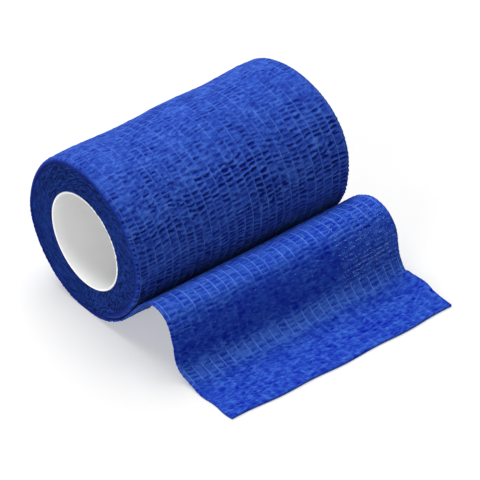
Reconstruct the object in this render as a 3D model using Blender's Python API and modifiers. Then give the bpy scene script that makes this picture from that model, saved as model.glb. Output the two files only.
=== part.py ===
"""Cohesive bandage roll: crepe cloth wound on a thin tube, its loose end lying out in front.

Metres, +Z up. X runs along the roll, -Y points to the loose end, and the origin is the middle of
the flat spot on which the roll rests. Turn angles are in degrees about the roll's axis, counted
from straight down, forward and up over the top: 90 is the front, 180 the top, 270 the back.
"""
import math
from typing import NamedTuple

import bmesh
import bpy
import numpy as np

OBJECT_NAME = "cohesive_bandage_roll"

ROLL_LENGTH = 0.0750
AXIS_HEIGHT = 0.02375

CORE_RADIUS = 0.0149
CORE_WALL = 0.0009
CORE_RECESS = 0.0003
CORE_RIM_ROUNDING = 0.0002
CORE_STEPS = 72

PIECE_GAP = 0.0003
SHEET_THICKNESS = 0.0010

TURN_STEPS = 96
RIM_STEPS = 4
NEAR_RIM_ROUNDING = 0.0012
FAR_RIM_ROUNDING = 0.0013
FACE_BAND = 0.0035
EDGE_SHIFT_REACH = 0.014
LENGTH_STEPS = 16
BORE_STEPS = 72

LEDGE_ANGLE = 25.0
LEAVE_ANGLE = 54.0

SHEET_LENGTH_STEPS = 52
SHEET_WIDTH_STEPS = 18
ROOT_SECTION_STEPS = 8
HUG_ENDS = 0.17
HUG_FADES = 0.15
END_DRIFT = 0.0022
END_WIDENING = 0.0018
ROOT_NARROWING = 0.0004
EDGE_WAVE = 0.00022
EDGE_WAVES_ALONG = 7.0
EDGE_WAVE_LAG = 2.0
LYING_STARTS = 0.72
FAR_EDGE_CURL = 0.0018
FAR_EDGE_CURL_WIDTH = 0.18
CUT_EDGE_WAVE = 0.0002
CUT_EDGE_WAVES = 3.5

CLOTH_BLUE = (0.035, 0.098, 0.560)
LOOSE_CLOTH_BLUE = (0.045, 0.120, 0.620)
CORE_WHITE = (0.82, 0.82, 0.81)


class TurnRadius(NamedTuple):
    """Radius of the wound cloth at one turn angle."""

    angle: float
    radius: float


class Swell(NamedTuple):
    """How far the wound cloth swells or dips at one place along the roll."""

    from_near_face: float
    swell: float


class EdgeShift(NamedTuple):
    """How far the wound cloth's two edges stand out past the roll's length at one turn angle."""

    angle: float
    near_out: float
    far_out: float


class Station(NamedTuple):
    """One place along the loose end: its mid-surface at the near edge, the middle and the far edge."""

    place: str
    near_y: float
    near_z: float
    middle_y: float
    middle_z: float
    far_y: float
    far_z: float


TURN_RADII = (
    TurnRadius(25.0, 0.02290),
    TurnRadius(55.0, 0.02295),
    TurnRadius(90.0, 0.02395),
    TurnRadius(135.0, 0.02445),
    TurnRadius(180.0, 0.02465),
    TurnRadius(225.0, 0.02475),
    TurnRadius(270.0, 0.02430),
    TurnRadius(315.0, 0.02410),
    TurnRadius(360.0, 0.02430),
    TurnRadius(385.0, 0.02420),
)

SWELLS = (
    Swell(0.000, 0.00000),
    Swell(0.008, 0.00010),
    Swell(0.024, -0.00040),
    Swell(0.042, 0.00020),
    Swell(0.056, -0.00015),
    Swell(0.067, 0.00040),
    Swell(0.075, 0.00030),
)

EDGE_SHIFTS = (
    EdgeShift(25.0, 0.0002, 0.0000),
    EdgeShift(75.0, 0.0000, 0.0001),
    EdgeShift(92.0, -0.0001, 0.0003),
    EdgeShift(108.0, -0.0002, 0.0010),
    EdgeShift(124.0, -0.0002, 0.0012),
    EdgeShift(142.0, -0.0001, 0.0010),
    EdgeShift(160.0, 0.0000, 0.0004),
    EdgeShift(180.0, -0.0001, -0.0002),
    EdgeShift(205.0, -0.0004, -0.0008),
    EdgeShift(232.0, -0.0006, -0.0006),
    EdgeShift(252.0, 0.0000, -0.0003),
    EdgeShift(272.0, 0.0007, 0.0000),
    EdgeShift(300.0, 0.0006, 0.0002),
    EdgeShift(335.0, 0.0004, 0.0001),
    EdgeShift(360.0, 0.0001, 0.0000),
    EdgeShift(385.0, 0.0002, 0.0000),
)

STATIONS = (
    Station("rise", -0.0228, 0.0146, -0.0226, 0.0141, -0.0228, 0.0144),
    Station("shoulder", -0.0264, 0.0184, -0.0264, 0.0178, -0.0272, 0.0188),
    Station("crest", -0.0302, 0.0204, -0.0316, 0.0202, -0.0334, 0.0216),
    Station("brow", -0.0340, 0.0192, -0.0362, 0.0193, -0.0386, 0.0205),
    Station("upper_face", -0.0367, 0.0158, -0.0391, 0.0157, -0.0416, 0.0167),
    Station("middle_face", -0.0379, 0.0110, -0.0406, 0.0108, -0.0432, 0.0112),
    Station("lower_face", -0.0384, 0.0066, -0.0414, 0.0063, -0.0443, 0.0066),
    Station("foot", -0.0405, 0.0032, -0.0434, 0.0030, -0.0463, 0.0034),
    Station("toe", -0.0442, 0.0013, -0.0470, 0.0010, -0.0498, 0.0016),
    Station("floor", -0.0495, 0.0005, -0.0525, 0.0005, -0.0548, 0.0008),
    Station("lying", -0.0558, 0.0005, -0.0584, 0.0005, -0.0594, 0.0006),
    Station("cut_edge", -0.0616, 0.0005, -0.0634, 0.0005, -0.0636, 0.0005),
)


def smooth_curve(knots, values, wanted):
    """Interpolates values, one row for each knot, with a smooth cubic through all of them."""
    knots = np.asarray(knots, float)
    values = np.asarray(values, float).reshape(len(knots), -1)
    spans = np.diff(knots)[:, None]
    slopes = np.diff(values, axis=0) / spans
    tangents = np.empty_like(values)
    tangents[0], tangents[-1] = slopes[0], slopes[-1]
    before, after = spans[:-1], spans[1:]
    tangents[1:-1] = (slopes[:-1] * after + slopes[1:] * before) / (before + after)
    wanted = np.clip(np.atleast_1d(wanted), knots[0], knots[-1])
    span = np.clip(np.searchsorted(knots, wanted, side="right") - 1, 0, len(knots) - 2)
    width = spans[span]
    t = ((wanted - knots[span])[:, None]) / width
    from_start = (1 + 2 * t) * (1 - t) ** 2 * values[span] + t * (1 - t) ** 2 * width * tangents[span]
    from_end = t * t * (3 - 2 * t) * values[span + 1] + t * t * (t - 1) * width * tangents[span + 1]
    return from_start + from_end


def even_points(points, steps):
    """Places steps + 1 points at equal distances along a smooth curve through the given points."""
    points = np.asarray(points, float)
    chords = np.concatenate([[0.0], np.cumsum(np.linalg.norm(np.diff(points, axis=0), axis=1))])
    fine_at = np.linspace(0.0, chords[-1], 40 * steps + 1)
    fine = smooth_curve(chords, points, fine_at)
    travelled = np.concatenate([[0.0], np.cumsum(np.linalg.norm(np.diff(fine, axis=0), axis=1))])
    at = np.linspace(0.0, travelled[-1], steps + 1)
    return np.stack([np.interp(at, travelled, fine[:, column]) for column in range(fine.shape[1])], axis=1)


def on_turn(angle, radius):
    """Gives Y and Z of the place at a turn angle and a distance from the roll's axis."""
    turn = math.radians(angle)
    return -radius * math.sin(turn), AXIS_HEIGHT - radius * math.cos(turn)


def turn_radius(angle):
    """Gives the wound cloth's radius at a turn angle between the ledge and one turn further."""
    angles = [row.angle for row in TURN_RADII]
    return float(smooth_curve(angles, [row.radius for row in TURN_RADII], angle)[0, 0])


def swell(from_near_face):
    """Gives how far the wound cloth swells at a distance from the near face."""
    places = [row.from_near_face for row in SWELLS]
    return float(smooth_curve(places, [row.swell for row in SWELLS], from_near_face)[0, 0])


def edge_shift(angle, from_near_face):
    """Gives how far the cloth is shifted along X at a turn angle and a distance from the near face."""
    angles = [row.angle for row in EDGE_SHIFTS]
    outs = [(row.near_out, row.far_out) for row in EDGE_SHIFTS]
    near_out, far_out = (float(out) for out in smooth_curve(angles, outs, angle)[0])
    near_share = max(0.0, 1 - from_near_face / EDGE_SHIFT_REACH)
    far_share = max(0.0, 1 - (ROLL_LENGTH - from_near_face) / EDGE_SHIFT_REACH)
    return far_out * far_share - near_out * near_share


def principled(name, colour, roughness):
    """Makes a plain material with a colour and a roughness."""
    material = bpy.data.materials.new(name)
    material.use_nodes = True
    shader = material.node_tree.nodes["Principled BSDF"]
    shader.inputs["Base Color"].default_value = (*colour, 1.0)
    shader.inputs["Roughness"].default_value = roughness
    shader.inputs["Metallic"].default_value = 0.0
    material.diffuse_color = (*colour, 1.0)
    return material


def mesh_object(name, mesh, collection, material=None):
    """Puts a mesh in the scene under a name."""
    piece = bpy.data.objects.new(name, mesh)
    collection.objects.link(piece)
    if material:
        mesh.materials.append(material)
    return piece


def shade_round(piece, sharp_angle=40.0):
    """Shades a piece smooth but for its sharp edges."""
    piece.data.shade_smooth()
    piece.data.set_sharp_from_angle(angle=math.radians(sharp_angle))


def make_core_tube(collection):
    """Turns the thin tube's wall about its axis and lays the tube along X."""
    half = ROLL_LENGTH / 2 - CORE_RECESS
    outer, inner = CORE_RADIUS, CORE_RADIUS - CORE_WALL
    wall = bmesh.new()
    section = ((outer, 0, half), (outer, 0, -half), (inner, 0, -half), (inner, 0, half))
    corners = [wall.verts.new(corner) for corner in section]
    for start, end in zip(corners, corners[1:] + corners[:1]):
        wall.edges.new((start, end))
    mesh = bpy.data.meshes.new("core_tube")
    wall.to_mesh(mesh)
    wall.free()
    tube = mesh_object("core_tube", mesh, collection, principled("core_white", CORE_WHITE, 0.35))
    tube.location = (0.0, 0.0, AXIS_HEIGHT)
    tube.rotation_euler = (0.0, math.radians(90.0), 0.0)
    screw = tube.modifiers.new("turned wall", "SCREW")
    screw.axis = "Z"
    screw.steps = CORE_STEPS
    screw.render_steps = CORE_STEPS
    screw.use_merge_vertices = True
    screw.merge_threshold = 0.00001
    screw.use_smooth_shade = True
    rim = tube.modifiers.new("rounded rims", "BEVEL")
    rim.width = CORE_RIM_ROUNDING
    rim.segments = 2
    rim.limit_method = "ANGLE"
    rim.angle_limit = math.radians(60.0)
    return tube


def rim_arc(rounding):
    """Lists a soft rim's cross sections from its face inwards: distance from the face and rim drop."""
    turns = [math.radians(90.0 * step / RIM_STEPS) for step in range(RIM_STEPS + 1)]
    return [(rounding * (1 - math.cos(turn)), rounding * (1 - math.sin(turn))) for turn in turns]


def length_stations():
    """Lists the roll's cross sections from face to face: distance from the near face and rim drop."""
    body = np.linspace(NEAR_RIM_ROUNDING, ROLL_LENGTH - FAR_RIM_ROUNDING, LENGTH_STEPS + 1)[1:-1]
    sections = [(0.0, FACE_BAND)] + rim_arc(NEAR_RIM_ROUNDING)
    sections += [(float(place), 0.0) for place in body]
    sections += [(ROLL_LENGTH - place, drop) for place, drop in reversed(rim_arc(FAR_RIM_ROUNDING))]
    return sections + [(ROLL_LENGTH, FACE_BAND)]


def wound_section(body, from_near_face, rim_drop):
    """Adds one ring of points: the wound outline at a distance from the near face."""
    full_turn = TURN_RADII[-1].angle - LEDGE_ANGLE
    ring = []
    for step in range(TURN_STEPS + 1):
        angle = LEDGE_ANGLE + full_turn * step / TURN_STEPS
        radius = turn_radius(angle) + swell(from_near_face) - rim_drop
        y, z = on_turn(angle, radius)
        shift = edge_shift(angle, from_near_face) if rim_drop < FACE_BAND else 0.0
        ring.append(body.verts.new((from_near_face - ROLL_LENGTH / 2 + shift, y, max(z, 0.0))))
    return ring


def make_wound_roll(collection, cutters):
    """Lofts the wound outline from face to face and cuts the hole for the core tube."""
    body = bmesh.new()
    rings = [wound_section(body, place, drop) for place, drop in length_stations()]
    for this, following in zip(rings, rings[1:]):
        for step in range(len(this)):
            after = (step + 1) % len(this)
            body.faces.new((this[step], this[after], following[after], following[step]))
    body.faces.new(list(reversed(rings[0])))
    body.faces.new(rings[-1])
    bmesh.ops.recalc_face_normals(body, faces=body.faces)
    mesh = bpy.data.meshes.new("wound_roll")
    body.to_mesh(mesh)
    body.free()
    roll = mesh_object("wound_roll", mesh, collection, principled("wound_cloth", CLOTH_BLUE, 0.9))

    hole = bmesh.new()
    radius = CORE_RADIUS + PIECE_GAP
    bmesh.ops.create_cone(
        hole, cap_ends=True, segments=BORE_STEPS, radius1=radius, radius2=radius, depth=1.2 * ROLL_LENGTH
    )
    hole_mesh = bpy.data.meshes.new("core_hole")
    hole.to_mesh(hole_mesh)
    hole.free()
    cutter = mesh_object("core_hole", hole_mesh, cutters)
    cutter.location = (0.0, 0.0, AXIS_HEIGHT)
    cutter.rotation_euler = (0.0, math.radians(90.0), 0.0)
    cutter.hide_render = True
    cutter.display_type = "WIRE"
    cut = roll.modifiers.new("core hole", "BOOLEAN")
    cut.operation = "DIFFERENCE"
    cut.solver = "EXACT"
    cut.object = cutter
    shade_round(roll)
    return roll


def sheet_section(side):
    """Gives the loose end's mid-surface at one side, from the ledge to the cut edge, as Y and Z."""
    mid_radius = turn_radius(LEDGE_ANGLE) + PIECE_GAP + SHEET_THICKNESS / 2
    first = LEDGE_ANGLE + math.degrees(PIECE_GAP / mid_radius)
    angles = np.linspace(first, LEAVE_ANGLE, ROOT_SECTION_STEPS + 1)
    points = [on_turn(angle, mid_radius) for angle in angles]
    points += [(getattr(row, side + "_y"), getattr(row, side + "_z")) for row in STATIONS]
    return even_points(points, SHEET_LENGTH_STEPS)


def sheet_point(sections, along, across):
    """Places one point of the loose end's mid-surface; along and across run from 0 to 1."""
    near, middle, far = (section[round(along * SHEET_LENGTH_STEPS)] for section in sections)
    blend = ((1 - across) * (1 - 2 * across), 4 * across * (1 - across), across * (2 * across - 1))
    y, z = blend[0] * near + blend[1] * middle + blend[2] * far
    hug = min(1.0, max(0.0, 1 - (along - HUG_ENDS) / HUG_FADES))
    lifted = hug * swell(across * ROLL_LENGTH) / math.hypot(y, z - AXIS_HEIGHT)
    y, z = y + lifted * y, z + lifted * (z - AXIS_HEIGHT)
    free = max(0.0, along - HUG_ENDS) / (1 - HUG_ENDS)
    drift = END_DRIFT * free + END_WIDENING * free * across
    drift += ROOT_NARROWING * hug * (1 - 2 * across)
    from_middle = abs(2 * across - 1)
    wave = math.sin(2 * math.pi * EDGE_WAVES_ALONG * along + EDGE_WAVE_LAG * across)
    x = ROLL_LENGTH * (across - 0.5) + drift + EDGE_WAVE * free * from_middle * wave
    lying = max(0.0, along - LYING_STARTS) / (1 - LYING_STARTS)
    curl = max(0.0, 1 - (1 - across) / FAR_EDGE_CURL_WIDTH) ** 2
    z += FAR_EDGE_CURL * curl * math.sin(math.pi * lying) ** 2
    y += CUT_EDGE_WAVE * lying ** 3 * math.sin(2 * math.pi * CUT_EDGE_WAVES * across)
    return x, y, max(z, SHEET_THICKNESS / 2)


def make_loose_end(collection):
    """Bends a flat grid to the loose end's course and gives it the cloth's thickness."""
    sheet = bmesh.new()
    bmesh.ops.create_grid(sheet, x_segments=SHEET_LENGTH_STEPS, y_segments=SHEET_WIDTH_STEPS, size=0.5)
    sections = [sheet_section(side) for side in ("near", "middle", "far")]
    for point in sheet.verts:
        along, across = point.co.x + 0.5, point.co.y + 0.5
        point.co = sheet_point(sections, along, across)
    mesh = bpy.data.meshes.new("loose_end")
    sheet.to_mesh(mesh)
    sheet.free()
    loose = mesh_object("loose_end", mesh, collection, principled("loose_cloth", LOOSE_CLOTH_BLUE, 0.9))
    shell = loose.modifiers.new("cloth thickness", "SOLIDIFY")
    shell.thickness = SHEET_THICKNESS
    shell.offset = 0.0
    shell.use_even_offset = True
    shade_round(loose)
    return loose


def clear_scene():
    """Removes the objects that are there."""
    for piece in list(bpy.data.objects):
        bpy.data.objects.remove(piece, do_unlink=True)


def new_collection(name):
    """Adds an empty collection to the scene."""
    collection = bpy.data.collections.new(name)
    bpy.context.scene.collection.children.link(collection)
    return collection


def main():
    """Makes the roll's three pieces."""
    clear_scene()
    parts = new_collection(OBJECT_NAME)
    cutters = new_collection(OBJECT_NAME + "_cutters")
    make_core_tube(parts)
    make_wound_roll(parts, cutters)
    make_loose_end(parts)


main()
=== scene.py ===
"""Looks of the cohesive bandage roll: crepe cloth wound on a white tube, its loose end lying out in front.

Metres, +Z up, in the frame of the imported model: X runs along the roll, -Y points to the loose end. Turn angles
are in degrees about the roll's axis, counted from straight down, forward and up over the top.
"""
import logging
import math
from dataclasses import dataclass
from enum import Enum
from typing import NamedTuple

import bmesh
import bpy
import numpy as np
from bpy.types import Material, Mesh, Node, NodeTree, Object
from mathutils import Matrix, Vector


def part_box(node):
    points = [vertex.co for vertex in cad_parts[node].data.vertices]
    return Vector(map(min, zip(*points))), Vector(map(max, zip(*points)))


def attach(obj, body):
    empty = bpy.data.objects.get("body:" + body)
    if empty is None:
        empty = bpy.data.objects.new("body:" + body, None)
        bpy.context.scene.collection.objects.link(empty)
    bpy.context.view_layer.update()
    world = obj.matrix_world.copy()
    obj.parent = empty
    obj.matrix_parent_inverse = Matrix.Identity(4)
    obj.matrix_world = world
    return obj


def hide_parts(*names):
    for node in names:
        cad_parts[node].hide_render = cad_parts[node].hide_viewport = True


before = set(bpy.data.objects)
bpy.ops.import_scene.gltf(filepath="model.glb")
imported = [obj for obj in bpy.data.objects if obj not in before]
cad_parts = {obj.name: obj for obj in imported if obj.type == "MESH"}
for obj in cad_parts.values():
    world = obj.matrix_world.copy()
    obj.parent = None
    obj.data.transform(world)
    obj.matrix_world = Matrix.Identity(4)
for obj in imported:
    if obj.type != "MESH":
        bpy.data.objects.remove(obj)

Array = np.ndarray
Triple = tuple[float, float, float]

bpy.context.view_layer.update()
MM = 0.001
LOG = logging.getLogger("bandage_roll")


class Face(Enum):
    """The roll's two end faces, by the sign of X."""

    NEAR = -1
    FAR = 1


class Layer(Enum):
    """Seeds of the noise layers, one for each thing that varies."""

    WANDER = 1
    LAG = 2
    GAIN = 3
    FINE = 4
    COARSE_FINE = 5
    SLACK = 6
    THREAD = 7
    TURN_WOBBLE = 8
    TURN_EDGE = 9
    CRUMB = 10
    TONE = 11
    LUMP = 12
    FIBRE = 13


class TurnRadius(NamedTuple):
    """Radius of the wound cloth at one turn angle."""

    angle: float
    radius: float


class Swell(NamedTuple):
    """How far the wound cloth swells or dips at one place along the roll."""

    from_near_face: float
    swell: float


class EdgeShift(NamedTuple):
    """How far the wound cloth's two edges stand out past the roll's length at one turn angle."""

    angle: float
    near_out: float
    far_out: float


class Zone(NamedTuple):
    """A stretch of the loose end, in shares of its length, that sets in and fades out."""

    starts: float
    full: float
    fades: float
    ends: float

    def share(self, s: Array) -> Array:
        """Gives how far places lie in the zone, from 0 to 1."""
        return ease(s, self.starts, self.full) * (1 - ease(s, self.fades, self.ends))


class Station(NamedTuple):
    """One place along the loose end: its mid-surface at the near edge, the middle and the far edge."""

    place: str
    near_y: float
    near_z: float
    middle_y: float
    middle_z: float
    far_y: float
    far_z: float


TURN_RADII = tuple(TurnRadius(*row) for row in (
    (25.0, 0.02290),
    (55.0, 0.02295),
    (90.0, 0.02395),
    (135.0, 0.02445),
    (180.0, 0.02465),
    (225.0, 0.02475),
    (270.0, 0.02430),
    (315.0, 0.02410),
    (360.0, 0.02430),
    (385.0, 0.02420),
))

SWELLS = tuple(Swell(*row) for row in (
    (0.000, 0.00000),
    (0.008, 0.00010),
    (0.024, -0.00040),
    (0.042, 0.00020),
    (0.056, -0.00015),
    (0.067, 0.00040),
    (0.075, 0.00030),
))

EDGE_SHIFTS = tuple(EdgeShift(*row) for row in (
    (25.0, 0.0002, 0.0000),
    (75.0, 0.0000, 0.0001),
    (92.0, -0.0001, 0.0003),
    (108.0, -0.0002, 0.0010),
    (124.0, -0.0002, 0.0012),
    (142.0, -0.0001, 0.0010),
    (160.0, 0.0000, 0.0004),
    (180.0, -0.0001, -0.0002),
    (205.0, -0.0004, -0.0008),
    (232.0, -0.0006, -0.0006),
    (252.0, 0.0000, -0.0003),
    (272.0, 0.0007, 0.0000),
    (300.0, 0.0006, 0.0002),
    (335.0, 0.0004, 0.0001),
    (360.0, 0.0001, 0.0000),
    (385.0, 0.0002, 0.0000),
))

STATIONS = tuple(Station(*row) for row in (
    ("rise", -0.0228, 0.0146, -0.0226, 0.0141, -0.0228, 0.0144),
    ("shoulder", -0.0264, 0.0184, -0.0264, 0.0178, -0.0272, 0.0188),
    ("crest", -0.0302, 0.0204, -0.0316, 0.0202, -0.0334, 0.0216),
    ("brow", -0.0340, 0.0192, -0.0362, 0.0193, -0.0386, 0.0205),
    ("upper_face", -0.0367, 0.0158, -0.0391, 0.0157, -0.0416, 0.0167),
    ("middle_face", -0.0379, 0.0110, -0.0406, 0.0108, -0.0432, 0.0112),
    ("lower_face", -0.0384, 0.0066, -0.0414, 0.0063, -0.0443, 0.0066),
    ("foot", -0.0405, 0.0032, -0.0434, 0.0030, -0.0463, 0.0034),
    ("toe", -0.0442, 0.0013, -0.0470, 0.0010, -0.0498, 0.0016),
    ("floor", -0.0495, 0.0005, -0.0525, 0.0005, -0.0548, 0.0008),
    ("lying", -0.0558, 0.0005, -0.0584, 0.0005, -0.0594, 0.0006),
    ("cut_edge", -0.0616, 0.0005, -0.0634, 0.0005, -0.0636, 0.0005),
))

CREST = Zone(0.33, 0.37, 0.45, 0.52)
FACE_RELIEF = Zone(0.50, 0.56, 0.64, 0.70)
FACE_SHADE = Zone(0.46, 0.55, 0.63, 0.69)
EDGE_STEP = Zone(0.60, 0.70, 0.762, 0.772)
TOE = Zone(0.665, 0.70, 0.755, 0.78)


def smooth_curve(knots: Array, values: Array, wanted: Array) -> Array:
    """Interpolates with a smooth cubic through all the knots.

    Args:
        knots: Increasing places, one for each row of values.
        values: One row, or one number, for each knot.
        wanted: Places to read the curve at.

    Returns:
        One row for each wanted place.
    """
    knots = np.asarray(knots, float)
    values = np.asarray(values, float).reshape(len(knots), -1)
    spans = np.diff(knots)[:, None]
    slopes = np.diff(values, axis=0) / spans
    tangents = np.empty_like(values)
    tangents[0], tangents[-1] = slopes[0], slopes[-1]
    before, after = spans[:-1], spans[1:]
    tangents[1:-1] = (slopes[:-1] * after + slopes[1:] * before) / (before + after)
    wanted = np.clip(np.atleast_1d(wanted), knots[0], knots[-1])
    span = np.clip(np.searchsorted(knots, wanted, side="right") - 1, 0, len(knots) - 2)
    width = spans[span]
    t = ((wanted - knots[span])[:, None]) / width
    from_start = (1 + 2 * t) * (1 - t) ** 2 * values[span] + t * (1 - t) ** 2 * width * tangents[span]
    from_end = t * t * (3 - 2 * t) * values[span + 1] + t * t * (t - 1) * width * tangents[span + 1]
    return from_start + from_end


def even_points(points: list, steps: int) -> Array:
    """Places points at equal distances along a smooth curve.

    Args:
        points: The places that the curve goes through.
        steps: The number of equal stretches.

    Returns:
        steps + 1 points.
    """
    points = np.asarray(points, float)
    chords = np.concatenate([[0.0], np.cumsum(np.linalg.norm(np.diff(points, axis=0), axis=1))])
    fine = smooth_curve(chords, points, np.linspace(0.0, chords[-1], 2001))
    travelled = np.concatenate([[0.0], np.cumsum(np.linalg.norm(np.diff(fine, axis=0), axis=1))])
    at = np.linspace(0.0, travelled[-1], steps + 1)
    return np.stack([np.interp(at, travelled, fine[:, column]) for column in range(fine.shape[1])], axis=1)


def ease(value: Array, low: float, high: float) -> Array:
    """Rises smoothly from 0 at low to 1 at high."""
    t = np.clip((value - low) / (high - low), 0.0, 1.0)
    return t * t * (3 - 2 * t)


def scatter(layer: Layer, u: Array, v: Array) -> Array:
    """Gives a fixed number from 0 to 1 for each pair of whole numbers.

    Args:
        layer: The layer, so that two layers differ.
        u: First whole number.
        v: Second whole number.

    Returns:
        Numbers that look drawn at random, the same on every run.
    """
    mixed = np.asarray(u).astype(np.int64) * 374761393 + np.asarray(v).astype(np.int64) * 668265263
    mixed = (mixed + layer.value * 1442695041) & 0xFFFFFFFF
    mixed = ((mixed ^ (mixed >> 13)) * 1274126177) & 0xFFFFFFFF
    mixed = ((mixed ^ (mixed >> 15)) * 2246822519) & 0xFFFFFFFF
    return (mixed ^ (mixed >> 16)) / 0xFFFFFFFF


def noise(layer: Layer, u: Array, v: Array, lump: tuple[float, float] = (1.0, 1.0)) -> Array:
    """Gives smooth noise from 0 to 1 over a plane.

    Args:
        layer: The layer, so that two layers differ.
        u: First coordinate.
        v: Second coordinate.
        lump: Size of a lump along each coordinate.

    Returns:
        The noise at each place.
    """
    u, v = np.broadcast_arrays(np.asarray(u, float) / lump[0], np.asarray(v, float) / lump[1])
    left, low = np.floor(u), np.floor(v)
    s, t = u - left, v - low
    s, t = s * s * (3 - 2 * s), t * t * (3 - 2 * t)
    lower = scatter(layer, left, low) * (1 - s) + scatter(layer, left + 1, low) * s
    upper = scatter(layer, left, low + 1) * (1 - s) + scatter(layer, left + 1, low + 1) * s
    return lower * (1 - t) + upper * t


def unit(vectors: Array) -> Array:
    """Scales vectors to length one."""
    return vectors / np.maximum(np.linalg.norm(vectors, axis=-1, keepdims=True), 1e-12)


def surface_normals(points: Array) -> Array:
    """Gives the normals of a grid of points, for first direction cross second direction."""
    return unit(np.cross(np.gradient(points, axis=0), np.gradient(points, axis=1)))


def grid_quads(rows: int, columns: int, first: int = 0, wrap_rows: bool = False, wrap_columns: bool = False,
               turned: bool = False) -> Array:
    """Lists the faces of a grid of points that are numbered row by row.

    Args:
        rows: Number of rows of points.
        columns: Number of points in a row.
        first: Number of the first point.
        wrap_rows: Whether the last row joins the first.
        wrap_columns: Whether each row closes on itself.
        turned: Whether the faces look the other way.

    Returns:
        One row of four point numbers for each face.
    """
    row = np.arange(rows if wrap_rows else rows - 1)[:, None]
    column = np.arange(columns if wrap_columns else columns - 1)[None, :]
    next_row, next_column = (row + 1) % rows, (column + 1) % columns
    corners = [row * columns + column, next_row * columns + column, next_row * columns + next_column,
               row * columns + next_column]
    quads = np.stack([corner.ravel() for corner in corners], axis=1) + first
    return quads[:, ::-1] if turned else quads


def face_outwards(mesh: Mesh) -> None:
    """Turns every face of a closed mesh so that it looks outwards.

    Args:
        mesh: The mesh, which is changed in place.
    """
    shell = bmesh.new()
    shell.from_mesh(mesh)
    bmesh.ops.recalc_face_normals(shell, faces=shell.faces)
    shell.to_mesh(mesh)
    shell.free()


def make_piece(name: str, points: Array, faces: list, shades: dict[str, Array] | None = None,
               material: Material | None = None) -> Object:
    """Makes a smooth-shaded mesh object.

    Args:
        name: The piece's name.
        points: All its points.
        faces: Arrays of point numbers, one row for each face, or lists of point numbers.
        shades: Named numbers, one for each point, that the material reads.
        material: The piece's finish.

    Returns:
        The object, linked to the scene.
    """
    listed = [face for group in faces for face in (group.tolist() if isinstance(group, Array) else group)]
    mesh = bpy.data.meshes.new(name)
    mesh.from_pydata(points.reshape(-1, 3).tolist(), [], listed)
    for shade, numbers in (shades or {}).items():
        attribute = mesh.attributes.new(shade, "FLOAT", "POINT")
        attribute.data.foreach_set("value", np.ascontiguousarray(numbers, dtype=np.float32).ravel())
    mesh.validate()
    face_outwards(mesh)
    mesh.shade_smooth()
    if material:
        mesh.materials.append(material)
    piece = bpy.data.objects.new(name, mesh)
    bpy.context.scene.collection.objects.link(piece)
    return piece


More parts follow.
